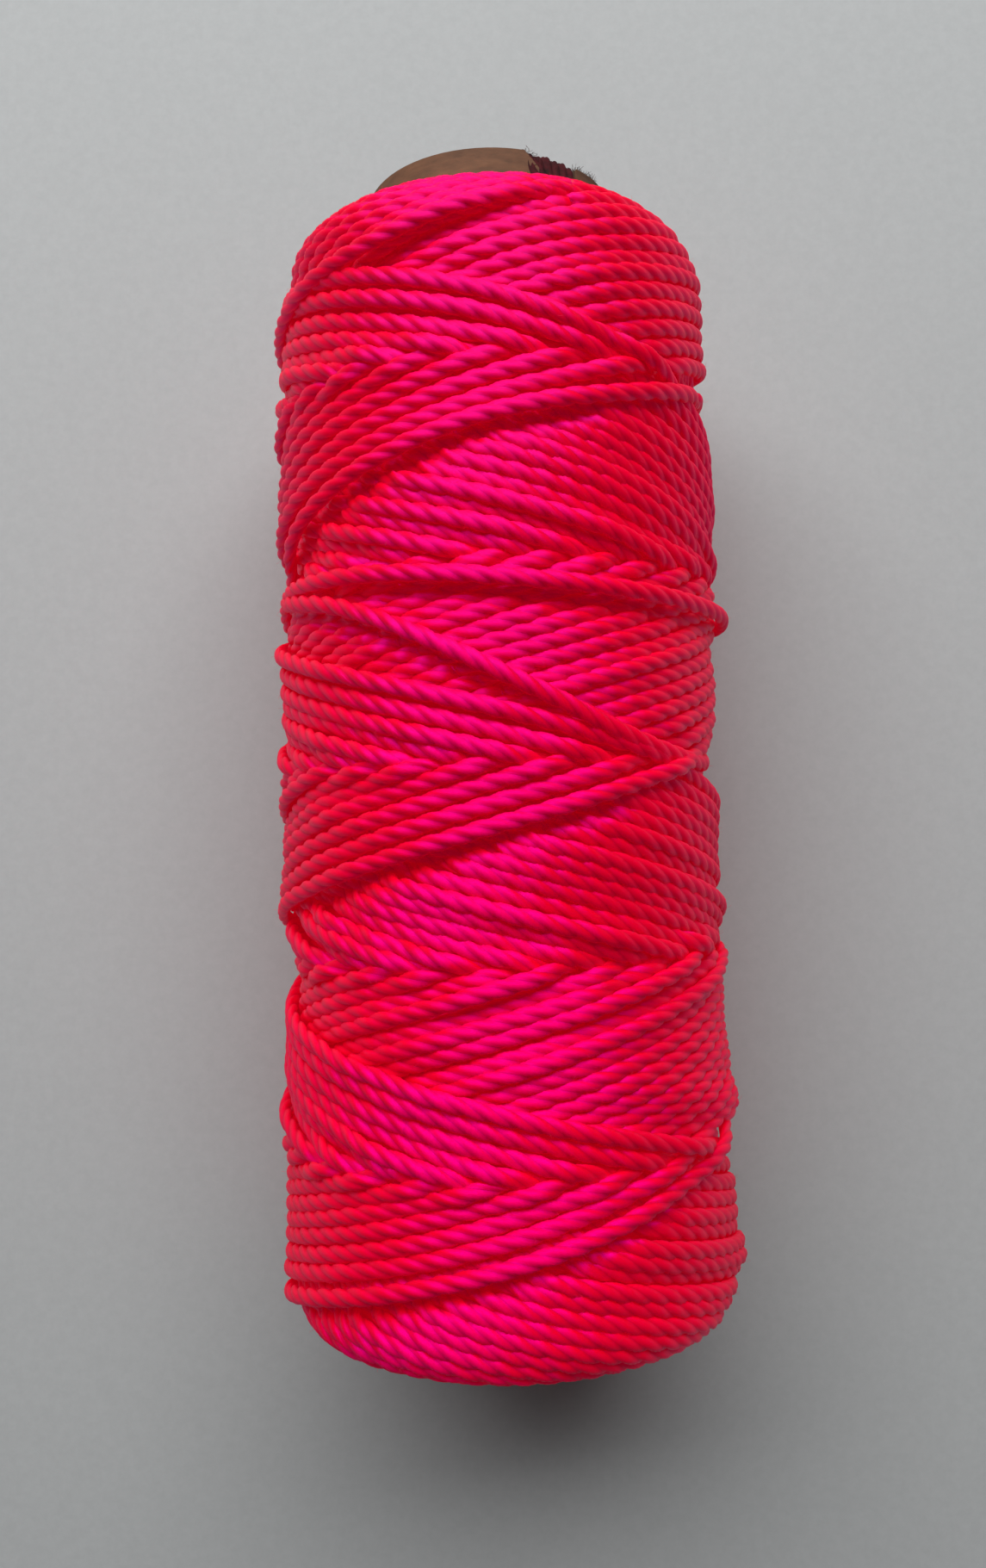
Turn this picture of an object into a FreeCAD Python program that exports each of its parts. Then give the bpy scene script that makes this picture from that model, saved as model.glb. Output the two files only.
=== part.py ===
import FreeCAD, Part
import math
import os

# A 3-strand twine, cross-wound on a flangeless paper tube, as sold for netting and trotlines.
# Millimetres. The tube's axis is Y and the spool lies on its side, with +Z up.
# The origin is on the axis at the tube's mid-length, and the notched rim is at +Y.
# A turn is counted about the axis from the top towards +X, and a station down the package from its middle.

V = FreeCAD.Vector

# Paper tube: a liner ply, body plies and a surface ply, glued one over the other
bore_radius = 12.7
liner_thickness = 0.35
body_ply_thickness = 0.4
body_plies = 3
surface_thickness = 0.3
glue_line = 0.03

# Torn notch in the +Y rim, which holds the twine's end, and the low torn rim beside it
notch_angle = 35.0
notch_floor_width = 2.6
notch_depth = 8.4
notch_mouth_left = 4.1
notch_mouth_right = 2.0
notch_tear_depth = 2.9
torn_rim_width = 4.4
torn_rim_drop = 0.3
torn_rim_middle_drop = 0.15
tear_step = 0.12

# Twine and its package, which leaves a bare rim of the tube at each end
cord_diameter = 1.95
cord_sides = 5
cord_gap = 0.52
package_length = 125.0
package_radius = 25.5
notched_rim_length = 7.35
plain_rim_length = 2.85
shoulder_radius = 5.0
shoulder_facets = 3
tube_clearance = 0.05
seat_clearance = 0.06

# Outer layer: cycles of one forward and one backward stroke, which reverse at the package's ends
cycles = 2
turns_per_stroke = 3
reversal_angle = 215.0
reversal_half_width = 0.25
lay_cosine = 0.95

# Finishing wraps: a last forward stroke turns back behind and ends as a hoop that traps it
hoop_station = -21.0
hoop_angle = -98.0
return_half_width = 0.15
hoop_half_width = 0.08
fall_width = 0.25
crossing_margin = 1.5
trapped_margin = 2.0
climb_length = 5.0
tail_margin = 3.0

# End of the twine, pressed into the notch
end_seat_length = 2.3
end_bend_radius = 7.0
end_rim_inset = 1.3

# Steps along the outer layer, in turns between biarcs and in millimetres between the gap's points
step_limit = 0.26
sample_step = 0.5

# Worked-out sizes of the tube
tube_length = notched_rim_length + package_length + plain_rim_length
body_radius = bore_radius + liner_thickness + glue_line
surface_radius = body_radius + body_plies * (body_ply_thickness + glue_line)
tube_radius = surface_radius + surface_thickness

# Worked-out heights: the outer layer's high twine lies at the package's radius, and low twine on the core
low_offset = cord_diameter / 2 + seat_clearance
level_step = cord_diameter + cord_gap
high_offset = low_offset + level_step
crossing_offset = high_offset + level_step
core_radius = package_radius - high_offset
rest_radius = package_radius + cord_diameter / 2 - cord_diameter / 10

# Worked-out stations and turns of the strokes
package_middle = tube_length / 2 - notched_rim_length - package_length / 2
shoulder_station = package_length / 2 - shoulder_radius
reach = package_length / 2 - cord_diameter / 2
pitch = level_step / lay_cosine
lead = (2 * reach - (cycles - 0.5) * pitch) / (turns_per_stroke - reversal_half_width)
crossing_turns = level_step / (2 * lead * lay_cosine)
backward_turns = turns_per_stroke + pitch / (2 * lead)
low_vertex = (reversal_angle / 360 + 1, reach + lead * reversal_half_width / 2)


def low_reversal(cycle):
    """Turn and station where a cycle's forward and backward lines meet, at the -Y end."""
    return low_vertex[0] + 2 * turns_per_stroke * cycle, low_vertex[1] - pitch * cycle


def high_reversal(cycle):
    """Turn and station where a cycle's backward line meets the next forward line, at the +Y end."""
    turn, station = low_reversal(cycle)
    return turn + backward_turns, station - lead * backward_turns


def forward_turn(cycle, station):
    """Turn at which a cycle's forward line passes a station."""
    turn, low_station = low_reversal(cycle)
    return turn + (station - low_station) / lead


def next_copy(turn, after, spacing):
    """The first copy of a turn, repeated at a spacing, that comes after another."""
    return turn + spacing * math.ceil((after - turn) / spacing)


class Route:
    """The outer layer's centre line: stroke lines joined by parabolas, at heights joined by smooth steps."""

    def __init__(self):
        self.corners = []
        self.levels = []

    def corner(self, turn, station, half_width):
        self.corners.append((turn, station, half_width))

    def level(self, first_turn, last_turn, offset):
        self.levels.append((first_turn, last_turn, offset))

    def station(self, turn):
        """Station down the package at a turn."""
        for (t0, s0, _), (t1, s1, _) in zip(self.corners, self.corners[1:]):
            slope = (s1 - s0) / (t1 - t0)
            if turn <= t1:
                break
        value = s0 + slope * (turn - t0)
        for i in range(1, len(self.corners) - 1):
            t, s, w = self.corners[i]
            if abs(turn - t) < w:
                before = (s - self.corners[i - 1][1]) / (t - self.corners[i - 1][0])
                after = (self.corners[i + 1][1] - s) / (self.corners[i + 1][0] - t)
                value = s + before * (turn - t) + (after - before) * (turn - t + w) ** 2 / (4 * w)
        return value

    def offset(self, turn):
        """Height of the centre line over the inner winding's surface at a turn."""
        value = low_offset
        for first, last, target in self.levels:
            if turn <= first:
                break
            share = min((turn - first) / (last - first), 1)
            value += (target - value) * share * share * (3 - 2 * share)
        return value

    def point(self, turn):
        station, offset = self.station(turn), self.offset(turn)
        along = abs(station) - shoulder_station
        radius = core_radius + offset
        if along > 0:
            bend = shoulder_radius + offset
            radius = core_radius - shoulder_radius + math.sqrt(bend * bend - along * along)
        angle = 2 * math.pi * turn
        return V(radius * math.sin(angle), package_middle - station, radius * math.cos(angle))

    def direction(self, turn):
        small = 1e-4
        return (self.point(turn + small) - self.point(turn - small)).normalize()

    def knots(self):
        """Turns at which the biarcs meet: each corner, and even steps of a quarter turn between them."""
        turns = [self.corners[0][0]]
        for (t0, _, _), (t1, _, _) in zip(self.corners, self.corners[1:]):
            steps = math.ceil((t1 - t0) / step_limit)
            turns += [t0 + (t1 - t0) * i / steps for i in range(1, steps + 1)]
        return turns


def outer_route():
    """Cycles of strokes across the package, then the finishing wraps."""
    route = Route()
    w = reversal_half_width
    low_turn, low_station = low_reversal(0)
    start_turn = high_reversal(0)[0] + w - 2 * turns_per_stroke
    route.corner(start_turn, low_station + lead * (start_turn - low_turn), 0)
    for cycle in range(cycles):
        for (turn, station), offset in (
            (low_reversal(cycle), high_offset),
            (high_reversal(cycle), low_offset),
        ):
            route.corner(turn, station, w)
            route.level(turn - w, turn + w, offset)

    # The last forward stroke starts at the last reversal and climbs over the backward bands once, in view
    turn, station = high_reversal(cycles - 1)
    low_turn, low_station = low_reversal(cycles - 1)
    trapped_turn = turn + (hoop_station - station) / lead
    meeting = (low_station - station) / (2 * lead) + (low_turn + turn) / 2
    first_crossing = next_copy(meeting, trapped_turn + climb_length * crossing_turns, 0.5)
    last_crossing = first_crossing + (cycles - 1) * pitch / (2 * lead)
    climb_turn = trapped_turn + trapped_margin * crossing_turns
    clear_turn = last_crossing + crossing_margin * crossing_turns
    route.level(climb_turn, first_crossing - crossing_margin * crossing_turns, crossing_offset)
    route.level(clear_turn, clear_turn + fall_width, high_offset)

    # It turns back behind the spool and becomes the hoop
    back_turn = clear_turn + return_half_width
    route.corner(back_turn, station + lead * (back_turn - turn), return_half_width)
    hoop_turn = next_copy(hoop_angle / 360, back_turn, 1)
    route.corner(hoop_turn, hoop_station, hoop_half_width)

    # The hoop's tail dives under the newest backward cord and stops short of the oldest forward one
    oldest_turn = next_copy(forward_turn(0, hoop_station), hoop_turn + 0.5, 1)
    over_turn = next_copy(low_turn + (low_station - hoop_station) / lead, hoop_turn + 0.5, 1)
    tail_turn = oldest_turn - tail_margin * crossing_turns
    dive_turn = over_turn - trapped_margin * crossing_turns
    route.level(dive_turn - fall_width, dive_turn, low_offset)
    route.corner(tail_turn, hoop_station, 0)
    return route


def biarc(p0, d0, p1, d1):
    """Two tangent arcs from p0 to p1, which leave along d0 and arrive along d1."""
    v = p1 - p0
    both = d0 + d1
    a = 2 * (1 - d0.dot(d1))
    b = 2 * v.dot(both)
    c = -v.dot(v)
    reach_out = (-b + math.sqrt(b * b - 4 * a * c)) / (2 * a)
    corner0 = p0 + d0 * reach_out
    corner1 = p1 - d1 * reach_out
    middle = (corner0 + corner1) * 0.5
    return [arc_at(p0, corner0, middle), arc_at(middle, corner1, p1)]


def arc_at(start, corner, end):
    """The arc from start to end whose tangents meet at a corner as far from one as from the other."""
    chord_middle = (start + end) * 0.5
    cosine = (corner - start).normalize().dot((end - start).normalize())
    top = chord_middle + (corner - chord_middle) * (cosine / (1 + cosine))
    return Part.Arc(start, top, end).toShape()


def polygon_section(centre, direction):
    """A closed polygon square to a direction, inside the twine's diameter."""
    side = direction.cross(V(centre.x, 0, centre.z)).normalize()
    rise = side.cross(direction)
    corners = []
    for i in range(cord_sides + 1):
        angle = 2 * math.pi * (i + 0.5) / cord_sides
        corners.append(centre + (side * math.cos(angle) + rise * math.sin(angle)) * (cord_diameter / 2))
    return Part.makePolygon(corners)


def outer_wire(route):
    """The outer layer's centre line in biarcs, with a straight run of one diameter at each end."""
    turns = route.knots()
    points = [route.point(t) for t in turns]
    directions = [route.direction(t) for t in turns]
    lead_in = points[0] - directions[0] * cord_diameter
    lead_out = points[-1] + directions[-1] * cord_diameter
    edges = [Part.LineSegment(lead_in, points[0]).toShape()]
    for i in range(len(turns) - 1):
        edges += biarc(points[i], directions[i], points[i + 1], directions[i + 1])
    edges.append(Part.LineSegment(points[-1], lead_out).toShape())
    return Part.Wire(edges)


def least_gap(wire):
    """Least gap between a twine and any later stretch of itself, on points along its centre line."""
    points = wire.discretize(Distance=sample_step)
    cell = 2 * cord_diameter
    skip = int(1.5 * cell / sample_step)
    near = {}
    for i, p in enumerate(points):
        near.setdefault((int(p.x // cell), int(p.y // cell), int(p.z // cell)), []).append(i)
    least = 10 * cord_diameter
    around = [(x, y, z) for x in (-1, 0, 1) for y in (-1, 0, 1) for z in (-1, 0, 1)]
    for (x, y, z), members in near.items():
        others = [j for dx, dy, dz in around for j in near.get((x + dx, y + dy, z + dz), [])]
        for i in members:
            for j in others:
                if j > i + skip:
                    least = min(least, points[i].distanceToPoint(points[j]))
    return least - cord_diameter


def outer_winding():
    """The outer layer as one unbroken faceted twine, cut flat where the spool lies on it."""
    wire = outer_wire(outer_route())
    start = wire.OrderedVertexes[0].Point
    direction = wire.OrderedVertexes[1].Point - start
    section = polygon_section(start, direction.normalize())
    twine = wire.makePipeShell([section], True, False)
    below = Part.makeBox(4 * core_radius, tube_length, core_radius)
    below.translate(V(-2 * core_radius, -tube_length / 2, -rest_radius - core_radius))
    gap = least_gap(wire)
    print(f"outer winding: {wire.Length / 1000:.2f} m of twine, lead {lead:.1f} mm, least gap {gap:.2f} mm")
    return twine.cut(below)


def inner_winding():
    """The package under the outer layer, as one solid with faceted round shoulders."""
    half = package_length / 2
    low = tube_radius + tube_clearance
    upper = []
    for i in range(shoulder_facets + 1):
        angle = math.pi / 2 * i / shoulder_facets
        radius = core_radius - shoulder_radius * (1 - math.sin(angle))
        upper.append((radius, shoulder_station + shoulder_radius * math.cos(angle)))
    outline = [(low, half)] + upper
    outline += [(radius, -station) for radius, station in reversed(outline)]
    corners = [V(radius, package_middle + station, 0) for radius, station in outline]
    return Part.Face(Part.makePolygon(corners + corners[:1])).revolve(V(0, 0, 0), V(0, 1, 0), 360)


def notch_tool(widening):
    """A prism through the wall at the notch, torn slantwise on its left, with a low torn rim on its right."""
    rim = tube_length / 2
    over = 1.0
    half_floor = notch_floor_width / 2 + widening
    left = -notch_mouth_left - widening
    right = notch_mouth_right + widening
    floor = rim - notch_depth - widening
    knee = floor + half_floor
    corners = [
        V(half_floor, knee, 0),
        V(right, rim - torn_rim_drop, 0),
        V(right + torn_rim_width / 2, rim - torn_rim_middle_drop, 0),
        V(right + torn_rim_width, rim, 0),
        V(right + torn_rim_width, rim + over, 0),
        V(left, rim + over, 0),
        V(left, rim, 0),
        V(-half_floor, rim - notch_tear_depth, 0),
        V(-half_floor, knee, 0),
    ]
    edges = [Part.Arc(V(-half_floor, knee, 0), V(0, floor, 0), V(half_floor, knee, 0)).toShape()]
    for start, end in zip(corners, corners[1:]):
        edges.append(Part.LineSegment(start, end).toShape())
    tool = Part.Face(Part.Wire(edges)).extrude(V(0, 0, tube_radius + over))
    tool.rotate(V(0, 0, 0), V(0, 1, 0), notch_angle)
    return tool


def ply(inner, thickness, number):
    """One ply of the paper tube as a ring, torn a little wider at the notch than the ply inside it."""
    start = V(0, -tube_length / 2, 0)
    ring = Part.makeCylinder(inner + thickness, tube_length, start, V(0, 1, 0))
    ring = ring.cut(Part.makeCylinder(inner, tube_length, start, V(0, 1, 0)))
    return ring.cut(notch_tool(number * tear_step))


def twine_end():
    """The twine's end: out of the package's end, over the tube and down into the notch."""
    package_end = package_middle + package_length / 2
    seat_height = tube_radius + cord_diameter / 2 + seat_clearance
    end_height = bore_radius + cord_diameter / 2 + 2 * seat_clearance
    root = V(0, package_end, seat_height)
    bend = V(0, package_end + end_seat_length, seat_height)
    tip = V(0, tube_length / 2 - end_rim_inset, end_height)
    inward = (tip - bend).normalize()
    tangent = end_bend_radius * math.tan(inward.getAngle(V(0, 1, 0)) / 2)
    arc_start = bend - V(0, tangent, 0)
    arc_end = bend + inward * tangent
    path = Part.Wire(
        [
            Part.LineSegment(root, arc_start).toShape(),
            arc_at(arc_start, bend, arc_end),
            Part.LineSegment(arc_end, tip).toShape(),
        ]
    )
    end = path.makePipeShell([polygon_section(root, V(0, 1, 0))], True, False)
    end.rotate(V(0, 0, 0), V(0, 1, 0), notch_angle)
    return end


def main():
    os.makedirs("parts", exist_ok=True)
    shapes = {"tube_liner_ply": ply(bore_radius, liner_thickness, 0)}
    for i in range(body_plies):
        inner = body_radius + i * (body_ply_thickness + glue_line)
        shapes[f"tube_body_ply_{i + 1}"] = ply(inner, body_ply_thickness, i + 1)
    shapes["tube_surface_ply"] = ply(surface_radius, surface_thickness, body_plies + 1)
    shapes["twine_end"] = twine_end()
    shapes["twine_inner_winding"] = inner_winding()
    shapes["twine_outer_winding"] = outer_winding()
    for name, shape in shapes.items():
        solids = shape.Solids
        print(f"{name}: {len(solids)} solid, {shape.Volume:.0f} mm3, valid {shape.isValid()}")
        shape.exportStep(f"parts/{name}.step")


main()
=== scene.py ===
import math
import bpy
import numpy as np
from mathutils import Matrix, Vector


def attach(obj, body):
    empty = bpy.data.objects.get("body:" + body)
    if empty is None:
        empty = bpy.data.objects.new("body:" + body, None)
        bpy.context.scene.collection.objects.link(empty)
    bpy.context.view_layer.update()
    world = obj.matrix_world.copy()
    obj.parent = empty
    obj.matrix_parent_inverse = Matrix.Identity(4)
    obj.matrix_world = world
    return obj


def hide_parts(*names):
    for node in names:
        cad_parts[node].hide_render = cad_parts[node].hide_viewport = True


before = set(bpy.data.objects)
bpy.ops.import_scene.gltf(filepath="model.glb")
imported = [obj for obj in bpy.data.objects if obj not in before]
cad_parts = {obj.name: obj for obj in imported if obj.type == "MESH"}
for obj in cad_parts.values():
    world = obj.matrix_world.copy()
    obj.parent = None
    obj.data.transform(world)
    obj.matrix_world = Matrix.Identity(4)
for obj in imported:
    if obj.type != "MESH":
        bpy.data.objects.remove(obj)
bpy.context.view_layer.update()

mm = 0.001
scene = bpy.context.scene
print("frame loaded")


# Small helpers for node trees

def addNode(tree, kind, place=(0, 0), **settings):
    node = tree.nodes.new(kind)
    node.location = place
    for key, value in settings.items():
        setattr(node, key, value)
    return node


def addMath(tree, operation, a, b=None, place=(0, 0)):
    node = addNode(tree, "ShaderNodeMath", place, operation=operation)
    for i, value in enumerate((a, b)):
        if value is None:
            continue
        if isinstance(value, (int, float)):
            node.inputs[i].default_value = value
        else:
            tree.links.new(value, node.inputs[i])
    return node.outputs[0]


def newMaterial(name):
    material = bpy.data.materials.new(name)
    material.use_nodes = True
    tree = material.node_tree
    tree.nodes.clear()
    output = addNode(tree, "ShaderNodeOutputMaterial", (900, 0))
    shader = addNode(tree, "ShaderNodeBsdfPrincipled", (600, 0))
    tree.links.new(shader.outputs[0], output.inputs[0])
    return material, tree, shader


def addRamp(tree, factor, stops, place=(0, 0)):
    ramp = addNode(tree, "ShaderNodeValToRGB", place)
    elements = ramp.color_ramp.elements
    while len(elements) < len(stops):
        elements.new(0.5)
    for element, (position, colour) in zip(elements, stops):
        element.position = position
        element.color = (*colour, 1)
    tree.links.new(factor, ramp.inputs[0])
    return ramp.outputs[0]


def addNoise(tree, vector, scale, detail=3.0, roughness=0.55, place=(0, 0)):
    noise = addNode(tree, "ShaderNodeTexNoise", place)
    noise.inputs["Scale"].default_value = scale
    noise.inputs["Detail"].default_value = detail
    noise.inputs["Roughness"].default_value = roughness
    tree.links.new(vector, noise.inputs["Vector"])
    return noise.outputs["Fac"]


def addBump(tree, shader, height, strength, distance, normal=None, place=(0, 0)):
    bump = addNode(tree, "ShaderNodeBump", place)
    bump.inputs["Strength"].default_value = strength
    bump.inputs["Distance"].default_value = distance
    tree.links.new(height, bump.inputs["Height"])
    if normal is not None:
        tree.links.new(normal, bump.inputs["Normal"])
    tree.links.new(bump.outputs[0], shader.inputs["Normal"])
    return bump.outputs[0]


# Twine material: dyed nylon, fine filaments along each strand

twineFinish = {
    "red": (0.80, 0.0, 0.021),
    "deepRed": (0.64, 0.0, 0.01),
    # painted shade in the grooves between the strands
    "paintedGrooveShade": (0.4, 0.0, 0.002),
    "paintedGlowColour": (1.0, 0.0, 0.03),     # painted glow: a little light of its own that lifts the twine's shade, fitted to the photo's brightness
    "paintedGlow": 0.13,
    "roughness": 0.46,
    "ior": 1.62,
    "anisotropy": 0.9,        # highlights stretch across the filaments
    "highlight": 1.0,
    "highlightTint": (1.0, 0.0, 0.95),
    "throughLight": 0.75,     # share of light that passes under the surface
    "throughRadius": (1.0, 0.05, 0.1),
    "throughScale": 0.0008,
    "sheen": 0.05,
    "sheenRoughness": 0.3,
    "sheenTint": (1.0, 0.02, 0.22),
    "filamentBump": 0.3,
    "strandBump": 0.3,
}


def makeTwineMaterial():
    material, tree, shader = newMaterial("dyedNylonTwine")
    links = tree.links
    uv = addNode(tree, "ShaderNodeUVMap", (-1400, 0), uv_map="UVMap")
    split = addNode(tree, "ShaderNodeSeparateXYZ", (-1200, 0))
    links.new(uv.outputs[0], split.inputs[0])
    around, along = split.outputs[0], split.outputs[1]
    # filaments run back against the lay, so they slant across each strand
    slant = addMath(tree, "MULTIPLY", along, 3.0, (-1000, -250))
    turned = addMath(tree, "MULTIPLY", around, 90.0, (-1000, -100))
    filamentUv = addNode(tree, "ShaderNodeCombineXYZ", (-650, -150))
    links.new(addMath(tree, "ADD", turned, slant, (-820, -150)), filamentUv.inputs[0])
    links.new(addMath(tree, "MULTIPLY", along, 0.6, (-820, -350)), filamentUv.inputs[1])
    filaments = addNoise(tree, filamentUv.outputs[0], 1.0, 2.0, 0.6, (-450, -150))
    # 0 in the grooves between the strands, 1 on their crowns; it shapes the strands' bump and the
    # painted shade in the grooves
    phase = addMath(tree, "MULTIPLY", around, 3 * math.pi, (-1000, 700))
    wave = addMath(tree, "SINE", phase, None, (-850, 700))
    crown = addMath(tree, "ABSOLUTE", wave, None, (-700, 700))
    crown = addMath(tree, "POWER", crown, 0.25, (-550, 700))
    place = addNode(tree, "ShaderNodeTexCoord", (-1200, 400))
    patches = addNoise(tree, place.outputs["Object"], 60.0, 3.0, 0.6, (-900, 400))
    mixed = addMath(tree, "ADD", addMath(tree, "MULTIPLY", patches, 0.6, (-700, 400)),
                    addMath(tree, "MULTIPLY", filaments, 0.4, (-700, 250)), (-500, 350))
    reds = [(0.3, twineFinish["deepRed"]), (0.7, twineFinish["red"])]
    colour = addRamp(tree, mixed, reds, (-300, 350))
    # painted shade: the base colour darkens towards the grooves between the strands
    shade = addNode(tree, "ShaderNodeMix", (100, 350), data_type="RGBA")
    links.new(crown, shade.inputs["Factor"])
    shade.inputs[6].default_value = (*twineFinish["paintedGrooveShade"], 1)
    links.new(colour, shade.inputs[7])
    links.new(shade.outputs[2], shader.inputs["Base Color"])
    tangent = addNode(tree, "ShaderNodeTangent", (350, -500), direction_type="UV_MAP", uv_map="UVMap")
    links.new(tangent.outputs[0], shader.inputs["Tangent"])
    # painted glow: the emission gives the twine light of its own, lifting its shade
    for socket, key in (("Roughness", "roughness"), ("IOR", "ior"), ("Anisotropic", "anisotropy"),
                        ("Emission Strength", "paintedGlow"), ("Specular IOR Level", "highlight"),
                        ("Subsurface Weight", "throughLight"), ("Subsurface Radius", "throughRadius"),
                        ("Subsurface Scale", "throughScale"), ("Sheen Weight", "sheen"),
                        ("Sheen Roughness", "sheenRoughness")):
        shader.inputs[socket].default_value = twineFinish[key]
    for socket, key in (("Emission Color", "paintedGlowColour"), ("Specular Tint", "highlightTint"),
                        ("Sheen Tint", "sheenTint")):
        shader.inputs[socket].default_value = (*twineFinish[key], 1)
    lobes = addBump(tree, shader, crown, twineFinish["strandBump"], 0.0002, place=(100, -350))
    addBump(tree, shader, filaments, twineFinish["filamentBump"], 0.0001, lobes, (350, -250))
    return material


twineMaterial = makeTwineMaterial()
print("twine material made")


# The winding, laid turn by turn on a map of heights over the tube

winding = {
    "middle": -2.25,          # CAD Y of the package's middle, mm
    "tubeRadius": 14.67,
    "clearOfTube": 0.95,      # the lowest turns lie on the tube, not in its wall
    "columns": 288,           # samples in one turn
    "cell": 0.2,              # mm along the axis
    "halfSpan": 66.0,
    "layHalfWidth": 0.80,
    "layHalfHeight": 0.82,
    "startCycle": -76,
    "outerCycles": 27,        # newest cycles, laid as cords
    "topVertex": (-0.4454, -64.2),      # turn and station of the reversals of cycle 0
    "bottomVertex": (2.692, 62.9),
    # turns in a cycle, there and back
    "periods": {0: 6.0484, 1: 6.0484, -1: 6.0545, -2: 6.049, -3: 6.043},
    "oldPeriod": 6.0393,      # turns in each older cycle, whose cords lie closer
    "cornerHalfWidth": 0.055,  # turns over which a reversal is rounded
    "wander": 0.13,
    "evenColumns": 7,         # how broad a bump is pressed flat, in columns and cells
    "evenCells": 16,
    "lookBack": 12,           # samples before a stroke that move with it
    "stiffness": 3.2,         # samples over which the cord bridges a dip
    "proudLimit": 0.9,        # how far the last turns may stand over the typical height, mm
    "endLimit": 0.7,          # the same for the turns on the package's two ends
    "lastDrop": 1.1,          # how far the very last of the twine is drawn down, mm
    "outerRadius": 25.1,      # mean radius of the topmost cord's middle
    "taper": 0.0056,          # mm of radius for each mm along the axis
    "shoulderStart": 57.0,
    "shoulderRadius": 6.0,
    "evenSpan": 61.4,         # stations within which the package is kept round, mm
    "meanSpan": 58,           # stations that the mean height is taken from, mm
    "ditchDepth": 1.0,        # how far the older turns lie sunk beside the newest ones, mm
    "ditchMiddle": 1.7,
    "ditchWidth": 0.95,
    "seed": 11,
}

# Soft dips and bulges of the package: (angle, station, mm out, spread in degrees, spread in mm)
unevenness = [
    (88, -43.3, -1.3, 22, 2.6), (88, -1.0, -1.6, 22, 2.6), (88, 44.0, -1.3, 22, 2.4),
    (92, 56.5, 1.2, 20, 1.4), (92, -18.0, 0.9, 18, 1.6), (92, -31.0, 0.8, 24, 5.0),
    (92, 51.0, 1.0, 22, 4.5), (62, 61.0, 1.1, 26, 3.5), (90, 36.0, 0.5, 24, 3.5),
    (-88, 22.5, -1.7, 22, 3.0),
    (-88, -23.2, -1.6, 20, 2.0), (-80, -56.0, -0.9, 20, 3.5), (85, 58.0, -0.4, 30, 3.0),
]

# The last turns, laid by hand: (turn, station in mm)
finishing = [
    (5.80, -56.9), (5.90, -52.6), (5.972, -49.6), (6.003, -48.3), (6.03, -46.9), (6.064, -45.4),
    (6.103, -43.6), (6.22, -38.9), (6.40, -32.4), (6.62, -25.4), (6.76, -21.4), (6.833, -19.2),
    (6.883, -17.9), (6.911, -16.3), (6.947, -13.9), (6.978, -11.3), (7.006, -9.0), (7.036, -6.7),
    (7.067, -4.0), (7.106, -1.8), (7.161, -0.4), (7.22, -0.9), (7.30, -3.4), (7.45, -9.5),
    (7.62, -15.6), (7.72, -18.3), (7.765, -20.4), (7.80, -21.2), (7.867, -20.7), (7.911, -20.4),
    (7.967, -19.6), (8.017, -18.8), (8.07, -18.3), (8.125, -18.0), (8.25, -17.9), (8.50, -19.0),
    (8.70, -20.9), (8.77, -22.3), (8.814, -24.6), (8.847, -27.6), (8.90, -31.2), (8.933, -32.9),
    (8.989, -35.7), (9.03, -37.1), (9.075, -38.5), (9.178, -42.4), (9.25, -45.0), (9.50, -49.5),
    (9.75, -52.2), (9.833, -53.2), (9.917, -54.9), (9.944, -56.0), (9.972, -57.2), (10.006, -58.7),
    (10.028, -59.8), (10.05, -61.2), (10.062, -62.2),
]
handStart = finishing[0][0]
# turns at which the height map is brought up to date while the last turns are laid
finishingCuts = [6.4, 6.9, 7.25, 7.7, 8.2, 8.7, 9.2, 9.7]

# turns in a stroke from the top reversal to the bottom one
forward = winding["bottomVertex"][0] - winding["topVertex"][0]


def reversalTurns():
    turns = {0: winding["topVertex"][0]}
    for cycle in (1, 2):
        turns[cycle] = turns[cycle - 1] + winding["periods"][cycle - 1]
    for cycle in range(-1, winding["startCycle"] - 2, -1):
        turns[cycle] = turns[cycle + 1] - winding["periods"].get(cycle, winding["oldPeriod"])
    return turns


topTurns = reversalTurns()
outerStart = topTurns[-winding["outerCycles"]]


def strokeStation(turn):
    marks = []
    for cycle in sorted(topTurns):
        marks.append((topTurns[cycle], winding["topVertex"][1]))
        marks.append((topTurns[cycle] + forward, winding["bottomVertex"][1]))
    marks = np.array(marks)
    return np.interp(turn, marks[:, 0], marks[:, 1])


def smoothRun(values, sigma):
    reach = int(4 * sigma) + 1
    kernel = np.exp(-0.5 * (np.arange(-reach, reach + 1) / sigma) ** 2)
    kernel /= kernel.sum()
    padded = np.pad(values, reach, mode="edge")
    return np.convolve(padded, kernel, mode="valid")


def layPath():
    rng = np.random.RandomState(winding["seed"])
    step = 1.0 / winding["columns"]
    firstIndex = int(math.ceil(topTurns[winding["startCycle"]] / step))
    lastIndex = int(finishing[-1][0] / step)
    index = np.arange(firstIndex, lastIndex + 1)
    turn = index * step
    halfWidth = winding["cornerHalfWidth"]
    offsets = np.linspace(-halfWidth, halfWidth, 15)
    station = np.mean([strokeStation(turn + o) for o in offsets], axis=0)
    knots = rng.normal(0, winding["wander"], int(len(turn) / 90) + 3)
    drift = np.interp(np.arange(len(turn)) / 90, np.arange(len(knots)), knots)
    station = station + smoothRun(drift, 22)
    hand = np.array(finishing)
    byHand = smoothRun(np.interp(turn, hand[:, 0], hand[:, 1]), 5)
    share = np.clip((turn - handStart) / 0.12, 0, 1)
    share = share * share * (3 - 2 * share)
    station = station * (1 - share) + byHand * share
    return index, turn, station


def gaussian(count, sigma):
    distance = np.minimum(np.arange(count), count - np.arange(count))
    kernel = np.exp(-0.5 * (distance / sigma) ** 2)
    return np.fft.fft(kernel / kernel.sum())


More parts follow.
